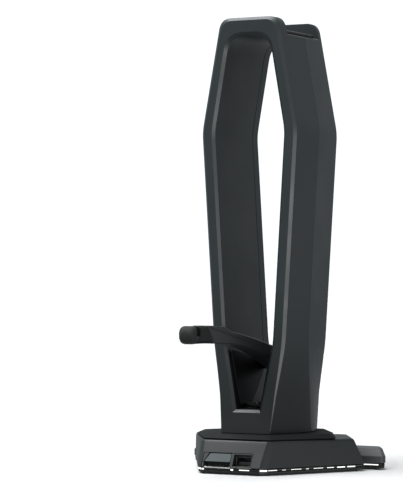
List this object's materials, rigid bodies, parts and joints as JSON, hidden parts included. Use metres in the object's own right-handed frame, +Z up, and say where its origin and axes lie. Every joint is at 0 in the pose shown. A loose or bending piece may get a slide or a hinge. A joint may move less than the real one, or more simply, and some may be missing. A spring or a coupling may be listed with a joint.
{
  "type": "headphone stand",
  "caption": "Free-standing headphone stand: hollow tapered tower with a padded saddle, a folding mouse-cable arm and a weighted hub base with a light rim.",
  "frame": {"origin": "on the table plane, under the tower's vertical axis", "axes": "+Z up, -Y towards the user (the arm reaches that way), +X to the user's right"},
  "size_m": [0.1354, 0.1551, 0.28],
  "materials": {
    "charcoal": "fine moulded texture, matte",
    "deck_grey": "matte, a shade lighter",
    "gloss_black": "polished",
    "black_plate": "semi-matte",
    "rubber": "matte",
    "soft_rubber": "soft grained",
    "acrylic": "clear, frosted inside",
    "steel": "zinc plated",
    "nickel": "nickel plated",
    "iron": "as cast, deburred",
    "board": "solder mask",
    "chip": "moulded epoxy",
    "led_white": "white reflective",
    "tongue": "moulded insulator"
  },
  "bodies": {
    "stand": {"tower_front_shell": "charcoal", "tower_rear_shell": "charcoal", "saddle_pad": "rubber", "tower_screw_1": "steel", "tower_screw_2": "steel", "tower_screw_3": "steel", "tower_screw_4": "steel", "tower_screw_5": "steel", "tower_screw_6": "steel", "tower_screw_7": "steel", "tower_screw_8": "steel", "foot_screw_1": "steel", "foot_screw_2": "steel", "foot_screw_3": "steel", "foot_screw_4": "steel", "arm_cradle": "gloss_black", "cradle_screw": "steel", "arm_pivot_pin": "nickel", "pivot_washer_left": "nickel", "pivot_washer_right": "nickel", "base_cover": "charcoal", "deck_collar": "deck_grey", "rear_bar": "charcoal", "front_bezel": "deck_grey", "key_spring": "nickel", "key_switch": "chip", "front_board": "board", "light_ring": "acrylic", "led_strip": "led_white", "base_plate": "black_plate", "rubber_sole": "rubber", "base_weight": "iron", "base_screw_1": "steel", "base_screw_2": "steel", "base_screw_3": "steel", "base_screw_4": "steel", "base_screw_5": "steel", "base_screw_6": "steel", "base_screw_7": "steel", "base_screw_8": "steel", "hub_board": "board", "hub_controller": "chip", "hub_capacitor": "chip", "board_screw_1": "steel", "board_screw_2": "steel", "usb_port_front": "nickel", "usb_port_left": "nickel", "usb_port_right": "nickel", "usb_tongue_front": "tongue", "usb_tongue_left": "tongue", "usb_tongue_right": "tongue", "host_inlet": "nickel", "inlet_tongue": "tongue"},
    "arm": {"bungee_arm": "charcoal", "arm_tip_body": "gloss_black", "arm_tip_cap": "soft_rubber"},
    "key": {"light_key": "deck_grey"}
  },
  "joints": [
    {"name": "arm_fold", "type": "hinge", "parent": "stand", "child": "arm", "pos_m": [0, 0.0125, 0.0665], "axis": [-1, 0, 0], "range_deg": [0, 80]},
    {"name": "key_press", "type": "slide", "parent": "stand", "child": "key", "axis": [0, 1, 0], "range_m": [0, 0.0006], "stiffness_N_per_m": 1200, "springref_m": -0.0004, "deforming": ["key_spring"]}
  ]
}
